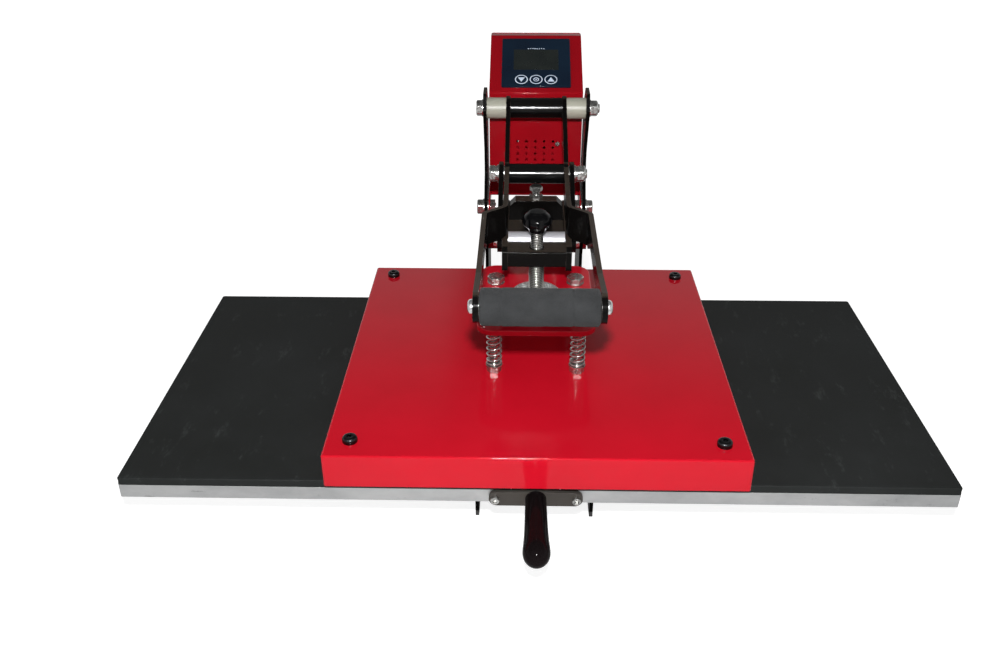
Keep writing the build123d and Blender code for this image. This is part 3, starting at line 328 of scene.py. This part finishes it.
def galvanised():
    """Zinc with pale grains that sparkle a little."""
    metal = Finish("galvanised_steel", Metallic=0.5)
    metal.edges(0.4 * MM)
    grains = metal.cells(700)
    tone = metal.blend(metal.scaled(grains, 0.15, 0.6), srgb(228, 230, 230), srgb(150, 152, 150))
    metal.bump(grains, 0.12 * MM)
    return metal.done(tone, metal.scaled(metal.grain(90, 4), 0.3, 0.7, 0.34, 0.5))


paint_black = srgb(8, 7, 7)
paint_deep = srgb(11, 10, 9)
# Edge colour of the black coats: rubbed steel, and a painted highlight along the edges.
bare_steel_and_edge_highlight = srgb(130, 120, 114)
# Paler brown of level faces: dust, and painted light on the tops.
brown_dust_and_top_light = srgb(62, 54, 47)
black_paint = powder_coat("black_powder_coat", paint_black, paint_deep, bare_steel_and_edge_highlight, 0.12,
                          smear=0.08, dust=brown_dust_and_top_light, level=0.06)
frame_paint = powder_coat("frame_powder_coat", paint_black, paint_deep, bare_steel_and_edge_highlight, 0.16,
                          smear=0.10, dust=brown_dust_and_top_light, level=0.015)
black_gloss = powder_coat("black_gloss_coat", srgb(8, 8, 8), srgb(11, 11, 11), srgb(60, 54, 50),
                          0.15, peel=0.03 * MM, edge_share=0.25, smear=0.05, level=0.3)
# The pale pink edge colour of the red coat is a painted highlight.
red_paint = powder_coat("red_powder_coat", srgb(178, 15, 32), srgb(172, 14, 30),
                        srgb(226, 100, 112), 0.07, peel=0.02 * MM, edge_share=0.28, smear=0.05,
                        level=0.3)
# A darker copy of the red coat for the console: painted shade; its pale pink edge colour is a
# painted highlight.
shaded_console_red = powder_coat("console_coat_painted_shade", srgb(140, 12, 22), srgb(134, 11, 21),
                          srgb(200, 84, 92), 0.05, peel=0.01 * MM, edge_share=0.28, smear=0.02,
                          level=0.05)
bracket_paint = powder_coat("grey_satin_coat", srgb(58, 54, 50), srgb(50, 47, 44),
                            srgb(24, 22, 21), 0.40, edge_share=0.6, level=0.3)
zinc = bare_metal("zinc_plate", srgb(212, 212, 209), srgb(50, 48, 45), 0.14, 0.34, (1, 1, 1),
                  scratch=0.05 * MM, spots=0.9, metallic=0.96, patch=230)
satin_tube = bare_metal("satin_tube", srgb(206, 205, 210), srgb(150, 149, 154), 0.34, 0.46,
                        (0.1, 1, 1), spots=0.4, metallic=0.5)
bright = bare_metal("bright_steel", srgb(222, 222, 222), srgb(150, 150, 150), 0.16, 0.30,
                    (1, 12, 12), metallic=0.92)
oxide = bare_metal("black_oxide", srgb(60, 60, 62), srgb(30, 30, 32), 0.24, 0.40, (1, 1, 1))
bronze = bare_metal("sintered_bronze", srgb(186, 140, 84), srgb(120, 84, 46), 0.34, 0.5, (1, 8, 8))
nylon = moulded("cream_nylon", srgb(152, 151, 138), srgb(166, 165, 152), 0.40, 300)
black_plastic = moulded("black_plastic", srgb(6, 6, 7), srgb(12, 12, 14), 0.16, 1200,
                        depth=0.02 * MM, level=0.15)
bakelite = moulded("maroon_resin", srgb(14, 10, 11), srgb(20, 14, 15), 0.09, 60, depth=0.02 * MM,
                   level=0.04)
rubber = moulded("black_rubber", srgb(26, 26, 26), srgb(66, 66, 66), 0.72, 900)
pad_skin = mat_foam()
sponge = grip_foam()
screen_dark = screen()

slot_finish = {
    "black_paint": black_paint, "red_paint": red_paint, "platen_aluminium": platen_metal(),
    "mat_rubber": pad_skin, "foot_rubber": rubber, "grip_foam": sponge, "zinc_steel": zinc,
    "bright_steel": bright, "black_oxide": oxide, "bronze": bronze, "nylon": nylon,
    "black_plastic": black_plastic, "bakelite": bakelite, "display_black": glass_front(),
    "lcd_grey": screen_dark, "board_green": circuit_board(), "insulation": fibre_board(),
}
node_finish = {
    "top_sleeve": black_gloss, "mid_sleeve": black_gloss, "left_frame_plate": frame_paint,
    "right_frame_plate": frame_paint, "arm_pivot_tube": satin_tube, "front_bracket": bracket_paint,
    "thrust_flange": galvanised(), "console_housing": shaded_console_red,
}
for name, node in nodes.items():
    for place in node.material_slots:
        place.material = slot_finish[place.material.name.split(".")[0]]
    if name in node_finish:
        node.material_slots[0].material = node_finish[name]


# Mesh helpers

def ring_faces(bm, rows):
    """Quads between closed rows of points that all have as many points."""
    count = len(rows[0])
    for low, high in zip(rows, rows[1:]):
        for i in range(count):
            j = (i + 1) % count
            bm.faces.new((low[i], low[j], high[j], high[i]))


def add_skin(bm, rings):
    """Add a skin through rings of points, closed at both ends."""
    rows = [[bm.verts.new(point) for point in ring] for ring in rings]
    ring_faces(bm, rows)
    bm.faces.new(rows[0])
    bm.faces.new(rows[-1])


def skin(rings):
    """A closed mesh through rings of points."""
    bm = bmesh.new()
    add_skin(bm, rings)
    return bm


def add_piece(name, bm, finish, body, replaced=(), crease=40):
    """Link a mesh as a piece that rides on a body, shaded smooth up to an angle."""
    mesh = bpy.data.meshes.new(name)
    bmesh.ops.recalc_face_normals(bm, faces=bm.faces)
    bm.to_mesh(mesh)
    bm.free()
    mesh.materials.append(finish)
    for face in mesh.polygons:
        face.use_smooth = True
    mesh.set_sharp_from_angle(angle=math.radians(crease))
    piece = bpy.data.objects.new(name, mesh)
    bpy.context.scene.collection.objects.link(piece)
    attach(piece, body)
    if replaced:
        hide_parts(*replaced)
    return piece


def circle(radius, count):
    """Points of a circle in X and Y."""
    return [Vector((radius * math.cos(FULL_TURN * i / count),
                    radius * math.sin(FULL_TURN * i / count), 0)) for i in range(count)]


def along_x(x, y, z):
    """A stand whose Z axis points along +X."""
    return Matrix.Translation((x, y, z)) @ Matrix.Rotation(math.radians(90), 4, "Y")


# Threads

thread_sides = 40
rows_per_pitch = 6
crest_share = 0.12
flank_share = 0.72
chamfer_depths = 1.4
thread_crease = 50


def thread_rings(radius, depth, pitch, length):
    """Rings of a threaded bar along Z, from 0 to its length, with chamfered ends."""
    chamfer = depth * chamfer_depths
    rows = max(2, round(length / pitch * rows_per_pitch))
    rings = []
    for row in range(rows + 1):
        height = length * row / rows
        end = min(height, length - height)
        ring = []
        for i in range(thread_sides):
            angle = FULL_TURN * i / thread_sides
            phase = (height / pitch - i / thread_sides) % 1.0
            from_crest = abs(2 * phase - 1) - crest_share
            reach = radius - depth * min(1.0, max(0.0, from_crest / flank_share))
            if end < chamfer:
                reach = min(reach, radius - (chamfer - end))
            ring.append(Vector((reach * math.cos(angle), reach * math.sin(angle), height)))
        rings.append(ring)
    return rings


screw_low, screw_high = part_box("pressure_screw")
screw_middle = middle("pressure_screw")
screw_radius = (screw_high.x - screw_low.x) / 2
screw_pitch = 2.0 * MM
screw_depth = 1.1 * MM
neck_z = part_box("nut_block")[1].z
neck_radius = 6.45 * MM
neck_depth = 0.95 * MM
neck_sunk = 1 * MM
spigot_radius = 4.0 * MM
knob_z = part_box("pressure_knob")[0].z
screw_axis = Matrix.Translation((screw_middle.x, screw_middle.y, 0))


def lifted(rings, height):
    """Rings raised from the origin to a height on the screw's axis."""
    return [[screw_axis @ (point + Vector((0, 0, height))) for point in ring] for ring in rings]


screw_length = neck_z - screw_low.z
screw_rings = thread_rings(screw_radius, screw_depth, screw_pitch, screw_length)
screw_steel = shaded_thread_steel("screw_steel", screw_middle, (1, 1, 0), screw_radius - screw_depth,
                             screw_radius)
add_piece("threaded_pressure_screw", skin(lifted(screw_rings, screw_low.z)), screw_steel,
          "screw", ("pressure_screw",), thread_crease)
neck_start = neck_z - neck_sunk
neck_rings = lifted(thread_rings(neck_radius, neck_depth, screw_pitch, knob_z - neck_start),
                    neck_start)
for rise in (knob_z, screw_high.z):
    neck_rings += lifted([circle(spigot_radius, thread_sides)], rise)
neck_steel = shaded_thread_steel("neck_steel", screw_middle, (1, 1, 0), neck_radius - neck_depth,
                            neck_radius)
add_piece("threaded_screw_neck", skin(neck_rings), neck_steel, "screw",
          crease=thread_crease)

axle_radius = 5.35 * MM
axle_depth = 0.33 * MM
axle_pitch = 1.5 * MM
axle_tucked = 1.5 * MM
axle_short = 0.1 * MM


def thread_end(name, bolt, nut, body):
    """The threaded tip of an axle, from inside its nut to just short of the bolt's end."""
    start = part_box(nut)[1].x - axle_tucked
    centre = middle(nut)
    stand = along_x(start, centre.y, centre.z)
    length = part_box(bolt)[1].x - axle_short - start
    rings = thread_rings(axle_radius, axle_depth, axle_pitch, length)
    steel = shaded_thread_steel(name + "_steel", centre, (0, 1, 1), axle_radius - axle_depth,
                           axle_radius)
    add_piece(name, skin([[stand @ point for point in ring] for ring in rings]), steel, body,
              crease=thread_crease)


thread_end("top_axle_thread", "top_axle", "top_axle_nut", "root")
thread_end("mid_axle_thread", "mid_axle", "mid_axle_nut", "handle")


# Springs

spring_low, spring_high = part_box("head_springs")
spring_wire = 2.1 * MM
spring_radius = 7.2 * MM
spring_turns = 8.0
closed_turns = 1.0
closed_rise = 0.9 * spring_wire
ground_reach = 0.34 * spring_wire
steps_per_turn = 28
smoothing_passes = 6
wire_sides = 12
right_spring_turn = 1.1
left_spring_turn = 2.6
turn_per_metre = 20
seat_gap = 0.08 * MM
coil_low = spring_low.z + seat_gap
coil_high = spring_high.z - seat_gap
nuts_low, nuts_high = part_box("spring_nuts")
nut_radius = 8.75 * MM


def coil_points():
    """The middle line of a coil whose first and last turns lie flat."""
    count = round(spring_turns * steps_per_turn)
    first = coil_low + ground_reach
    last = coil_high - ground_reach
    flat = closed_turns * closed_rise
    climb = (last - first - 2 * flat) / (spring_turns - 2 * closed_turns)
    points = []
    for i in range(count + 1):
        turn = spring_turns * i / count
        if turn < closed_turns:
            height = first + flat * turn / closed_turns
        elif turn > spring_turns - closed_turns:
            height = last - flat * (spring_turns - turn) / closed_turns
        else:
            height = first + flat + climb * (turn - closed_turns)
        angle = FULL_TURN * turn
        points.append(Vector((spring_radius * math.cos(angle), spring_radius * math.sin(angle),
                              height)))
    return points


def smoothed(points):
    """Even out the change of pitch between the flat and the open turns."""
    for _ in range(smoothing_passes):
        between = [Vector((p.x, p.y, (a.z + 2 * p.z + b.z) / 4))
                   for a, p, b in zip(points, points[1:], points[2:])]
        points = [points[0]] + between + [points[-1]]
    return points


def wire_rings(points):
    """Rings round the spring's wire, whose ends are ground flat."""
    rings = []
    for i, point in enumerate(points):
        ahead = points[min(i + 1, len(points) - 1)] - points[max(i - 1, 0)]
        ahead.normalize()
        out = Vector((point.x, point.y, 0)).normalized()
        up = ahead.cross(out).normalized()
        out = up.cross(ahead)
        ring = []
        for side in circle(spring_wire / 2, wire_sides):
            place = point + out * side.x + up * side.y
            ring.append(Vector((place.x, place.y, min(coil_high, max(coil_low, place.z)))))
        rings.append(ring)
    return rings


coil_rings = wire_rings(smoothed(coil_points()))
springs = bmesh.new()
for side in (-1, 1):
    for y in (nuts_low.y + nut_radius, nuts_high.y - nut_radius):
        angle = right_spring_turn if side > 0 else left_spring_turn + y * turn_per_metre
        stand = (Matrix.Translation((side * (nuts_high.x - nut_radius), y, 0))
                 @ Matrix.Rotation(angle, 4, "Z"))
        add_skin(springs, [[stand @ point for point in ring] for ring in coil_rings])
spring_piece = add_piece("coil_springs", springs, zinc, "pressure_head",
                         ("head_springs",), crease=60)
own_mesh(spring_piece)


# Pads on the platens

mat_low, mat_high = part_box("press_mats")
platen_low, platen_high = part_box("right_platen")
points_per_side = 26
points_per_corner = 5
pad_lip = 1.6 * MM
lip_steps = 5
pad_foot = 0.2 * MM
pad_waist = 0.35 * MM
pad_shoulder = 0.15 * MM
belly_share = 0.08
waist_share = 0.45
top_insets = (4, 8, 14, 22, 32, 44, 58, 74, 92, 110, 128, 146, 160, 172)
pad_corner = 2.2 * MM
least_corner = 0.4 * MM
corner_shrink = 0.2
top_sink = 0.16 * MM
top_band = 0.01 * MM
waves_per_metre = 14
wave_seed = 3.0


def rounded_outline(x_half, y_half, corner):
    """Points of a rounded rectangle about the origin."""
    signs = ((1, 1), (-1, 1), (-1, -1), (1, -1))
    centres = [Vector((x * (x_half - corner), y * (y_half - corner), 0)) for x, y in signs]
    points = []
    for quarter, centre in enumerate(centres):
        angle = math.pi / 2 * quarter
        for i in range(points_per_corner + 1):
            a = angle + math.pi / 2 * i / points_per_corner
            reach = Vector((corner * math.cos(a), corner * math.sin(a), 0))
            points.append(centre + reach)
        start = points[-1]
        end = centres[(quarter + 1) % 4] + reach
        for i in range(1, points_per_side):
            points.append(start.lerp(end, i / points_per_side))
    return points


def pad_profile(height):
    """How far a pad's skin is drawn in at each height, from the bottom to the middle of the top."""
    profile = [(pad_foot, 0.0), (0.0, belly_share * height), (pad_waist, waist_share * height),
               (pad_shoulder, height - pad_lip)]
    for step in range(1, lip_steps + 1):
        angle = math.pi / 2 * step / lip_steps
        profile.append((pad_shoulder + pad_lip * (1 - math.cos(angle)),
                        height - pad_lip + pad_lip * math.sin(angle)))
    return profile + [(inset * MM, height) for inset in top_insets]


def pad(x_low, x_high):
    """Rings of a foam pad with rounded upper edges, sides drawn in, and a faintly uneven top."""
    x_half = (x_high - x_low) / 2
    y_half = (mat_high.y - mat_low.y) / 2
    centre = Vector(((x_low + x_high) / 2, (mat_low.y + mat_high.y) / 2, 0))
    height = mat_high.z - mat_low.z
    rings = []
    for inset, rise in pad_profile(height):
        corner = max(pad_corner - inset * corner_shrink, least_corner)
        ring = []
        for point in rounded_outline(x_half - inset, y_half - inset, corner):
            x, y, _ = centre + point
            sink = 0.0
            if rise >= height - top_band:
                wave = noise.noise(Vector((x * waves_per_metre, y * waves_per_metre, wave_seed)))
                sink = top_sink * (1 - wave)
            ring.append(Vector((x, y, mat_low.z + rise - sink)))
        rings.append(ring)
    return rings


pads = bmesh.new()
for x_low, x_high in ((-platen_high.x, -platen_low.x), (platen_low.x, platen_high.x)):
    add_skin(pads, pad(x_low, x_high))
pad_piece = add_piece("foam_pads", pads, pad_skin, "table", ("press_mats",))


# Sponge grip

grip_low, grip_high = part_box("foam_grip")
grip_middle = middle("foam_grip")
grip_half = (grip_high.x - grip_low.x) / 2
grip_radius = (grip_high.z - grip_low.z) / 2 - 0.35 * MM
grip_stations = 130
grip_sides = 56
grip_round = 3.2 * MM
lump_height = 0.22 * MM
lumps_along = 90
lumps_round = 1.3
lump_seed = 5
dent_height = 0.25 * MM
dents_along = 28
dents_round = 0.7
dent_seed = 9
crease_places = (0.18, 0.78)
crease_depth = 0.55 * MM
crease_width = 0.9 * MM


def grip_reach(x, across, upward):
    """The sleeve's radius at a place along X and a direction round it."""
    share = (x + grip_half) / (2 * grip_half)
    lump = noise.noise(Vector((x * lumps_along, across * lumps_round,
                               upward * lumps_round + lump_seed)))
    dent = noise.noise(Vector((x * dents_along, across * dents_round,
                               upward * dents_round + dent_seed)))
    reach = grip_radius + lump_height * lump + dent_height * dent
    for place in crease_places:
        away = (share - place) * 2 * grip_half / crease_width
        reach -= crease_depth * math.exp(-away ** 2)
    end = min(x + grip_half, grip_half - x)
    if end < grip_round:
        reach -= grip_round - math.sqrt(max(0.0, grip_round ** 2 - (grip_round - end) ** 2))
    return reach


grip_rings = []
for i in range(grip_stations + 1):
    x = grip_half * (2 * i / grip_stations - 1)
    ring = []
    for point in circle(1.0, grip_sides):
        reach = grip_reach(x, point.x, point.y)
        ring.append(Vector((x, grip_middle.y + reach * point.x, grip_middle.z + reach * point.y)))
    grip_rings.append(ring)
grip_piece = add_piece("sponge_sleeve", skin(grip_rings), sponge, "handle",
                       ("foam_grip",), crease=60)


# Display marks

slope_run = 90.0
slope_rise = 47.0
slope_length = math.hypot(slope_run, slope_rise)
up_slope = Vector((0, slope_run, slope_rise)) / slope_length
outward = Vector((0, -slope_rise, slope_run)) / slope_length
glass_half = 1.0 * MM
glass_face = middle("display_glass") + outward * glass_half
display = Matrix((
    (1, up_slope.x, outward.x, glass_face.x),
    (0, up_slope.y, outward.y, glass_face.y),
    (0, up_slope.z, outward.z, glass_face.z),
    (0, 0, 0, 1)))
print_lift = 0.06 * MM
window_lift = 0.03 * MM
print_root = -0.02 * MM

# The marks' sizes are in millimetres from the middle of the glass.
key_pitch = 17.9
key_y = -30.3
key_radius = 7.8
key_line = 1.1
arrow_half = 4.3
arrow_base = 3.4
arrow_tip = 3.8
dial_outer = 3.4
dial_inner = 2.3
dial_dot = 1.0
dot_count = 8
dot_pitch = 2.7
dot_low = 23.6
dot_size = 1.4
window_corners = (-27.5, -13.5, 27.5, 22.5)


def mark(bm, outline, lift=print_lift, inner=None):
    """A thin raised print on the glass, with an optional hole."""
    def at(points, height):
        return [bm.verts.new(display @ Vector((x * MM, y * MM, height))) for x, y in points]
    rows = [at(outline, print_root), at(outline, lift)]
    if inner is None:
        ring_faces(bm, rows)
        for row in rows:
            bm.faces.new(row)
    else:
        ring_faces(bm, rows + [at(inner, lift), at(inner, print_root), rows[0]])


def disc(x, y, radius, count=40):
    """Points of a circle about a place."""
    return [(x + radius * math.cos(FULL_TURN * i / count),
             y + radius * math.sin(FULL_TURN * i / count)) for i in range(count)]


def plate(x_low, y_low, x_high, y_high):
    """Corners of a rectangle."""
    return [(x_low, y_low), (x_high, y_low), (x_high, y_high), (x_low, y_high)]


prints = bmesh.new()
for column in (-1, 0, 1):
    x = column * key_pitch
    mark(prints, disc(x, key_y, key_radius), inner=disc(x, key_y, key_radius - key_line))
    if column != 0:
        base_y = key_y - column * arrow_base
        tip_y = key_y + column * arrow_tip
        mark(prints, [(x - arrow_half, base_y), (x + arrow_half, base_y), (x, tip_y)])
mark(prints, disc(0, key_y, dial_outer), inner=disc(0, key_y, dial_inner))
mark(prints, disc(0, key_y, dial_dot, 20))
for dot in range(dot_count):
    x = (dot - (dot_count - 1) / 2) * dot_pitch
    mark(prints, plate(x - dot_size / 2, dot_low, x + dot_size / 2, dot_low + dot_size))
add_piece("display_print", prints, print_ink(), "root")

window = bmesh.new()
mark(window, plate(*window_corners), lift=window_lift)
add_piece("display_window", window, screen_dark, "root")


# Floor and sky

floor_grey = 0.45
floor_half = 14
mirrored_share = 0.22
glow_near = 0.84
near_reach = 0.5
far_reach = 1.3
sky = ((0.0, 1.0), (0.22, 0.85), (0.40, 0.62), (0.48, 0.40), (0.54, 0.17), (0.60, 0.04),
       (1.0, 0.14))
strip_inner = 0.03
strip_outer = 0.08
strip_lift = 0.16


def floor_material():
    """Pale floor that shows as near white, with the shadow kept."""
    material = bpy.data.materials.new("studio_floor")
    material.use_nodes = True
    tree = material.node_tree
    tree.nodes.clear()
    path = add_node(tree, "LightPath").outputs
    mirrored = add_node(tree, "Math", {0: path["Is Glossy Ray"], 1: path["Is Transmission Ray"]},
                        operation="MAXIMUM")
    seen = add_node(tree, "Math", {0: mirrored.outputs[0], 1: mirrored_share,
                                   2: path["Is Camera Ray"]}, operation="MULTIPLY_ADD")
    place = add_node(tree, "TexCoord").outputs["Object"]
    reach = add_node(tree, "VectorMath", {0: place}, operation="LENGTH").outputs["Value"]
    fade = add_node(tree, "MapRange", {"Value": reach, "From Min": near_reach,
                                       "From Max": far_reach, "To Min": glow_near, "To Max": 1.0})
    strength = add_node(tree, "Math", {0: seen.outputs[0], 1: fade.outputs["Result"]},
                        operation="MULTIPLY")
    glow = add_node(tree, "Emission", {"Color": (1, 1, 1, 1), "Strength": strength.outputs[0]})
    diffuse = add_node(tree, "BsdfDiffuse", {"Color": (floor_grey, floor_grey, floor_grey, 1)})
    both = add_node(tree, "AddShader", {0: diffuse.outputs[0], 1: glow.outputs[0]})
    add_node(tree, "OutputMaterial", {"Surface": both.outputs[0]})
    return material


def sky_light(tree):
    """A sky that is white low down and in view, and darker above and over a strip at the back."""
    direction = add_node(tree, "TexCoord").outputs["Generated"]
    split = add_node(tree, "SeparateXYZ", {0: direction}).outputs
    aside = add_node(tree, "Math", {0: split["X"]}, operation="ABSOLUTE")
    strip = add_node(tree, "MapRange", {"Value": aside.outputs[0], "From Min": strip_inner,
                                        "From Max": strip_outer, "To Min": strip_lift,
                                        "To Max": 0.0})
    height = add_node(tree, "Math", {0: split["Z"], 1: strip.outputs["Result"]}, operation="ADD")
    in_view = add_node(tree, "LightPath").outputs["Is Camera Ray"]
    unseen = add_node(tree, "Math", {0: 1.0, 1: in_view}, operation="SUBTRACT")
    gated = add_node(tree, "Math", {0: height.outputs[0], 1: unseen.outputs[0]},
                     operation="MULTIPLY")
    shade = add_node(tree, "ValToRGB", {"Fac": gated.outputs[0]})
    ramp = shade.color_ramp
    while len(ramp.elements) < len(sky):
        ramp.elements.new(0.5)
    for stop, (position, grey) in zip(ramp.elements, sky):
        stop.position = position
        stop.color = (grey, grey, grey, 1)
    background = tree.nodes["Background"]
    background.inputs["Strength"].default_value = 1.0
    tree.links.new(shade.outputs["Color"], background.inputs["Color"])


floor_mesh = bpy.data.meshes.new("studio_floor")
floor_bm = bmesh.new()
bmesh.ops.create_grid(floor_bm, x_segments=8, y_segments=8, size=floor_half)
floor_bm.to_mesh(floor_mesh)
floor_bm.free()
floor_mesh.materials.append(floor_material())
floor = bpy.data.objects.new("studio_floor", floor_mesh)
bpy.context.scene.collection.objects.link(floor)

world = bpy.data.worlds.new("studio")
world.use_nodes = True
bpy.context.scene.world = world
sky_light(world.node_tree)


# Lamps and camera

def lamp(name, place, target, size, power):
    """A soft rectangular lamp that points at a target."""
    light = bpy.data.lights.new(name, "AREA")
    light.shape = "RECTANGLE"
    light.size, light.size_y = size
    light.energy = power
    obj = bpy.data.objects.new(name, light)
    obj.location = place
    aim = Vector(target) - Vector(place)
    obj.rotation_euler = aim.to_track_quat("-Z", "Y").to_euler()
    bpy.context.scene.collection.objects.link(obj)


lamp("flash_lamp", (-0.0156, -0.95, 0.79), (0, 0.05, 0.15), (0.035, 0.025), 16)
lamp("left_lamp", (-1.3, -1.3, 2.1), (0, 0, 0.15), (1.2, 1.2), 2.5)
lamp("right_lamp", (1.5, -0.9, 1.9), (0, 0, 0.15), (1.2, 1.2), 2)

cover_top = middle("heat_cover")
cover_top.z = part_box("heat_cover")[1].z
camera_from_cover = Vector((-0.01560, -0.91875, 0.54196))
yaw = math.radians(-1.4212)
tilt = math.radians(29.694)
roll = math.radians(0.1816)
camera_data = bpy.data.cameras.new("camera")
camera_data.sensor_fit = "HORIZONTAL"
camera_data.sensor_width = 36
camera_data.lens = 34.99
camera = bpy.data.objects.new("camera", camera_data)
bpy.context.scene.collection.objects.link(camera)
forward = Vector((math.sin(yaw) * math.cos(tilt), math.cos(yaw) * math.cos(tilt), -math.sin(tilt)))
level = Vector((math.cos(yaw), -math.sin(yaw), 0))
down = forward.cross(level)
right = math.cos(roll) * level + math.sin(roll) * down
below = -math.sin(roll) * level + math.cos(roll) * down
stand = Matrix((right, -below, -forward)).transposed().to_4x4()
stand.translation = cover_top + camera_from_cover
camera.matrix_world = stand
bpy.context.scene.camera = camera
bpy.context.scene.view_settings.view_transform = "Standard"
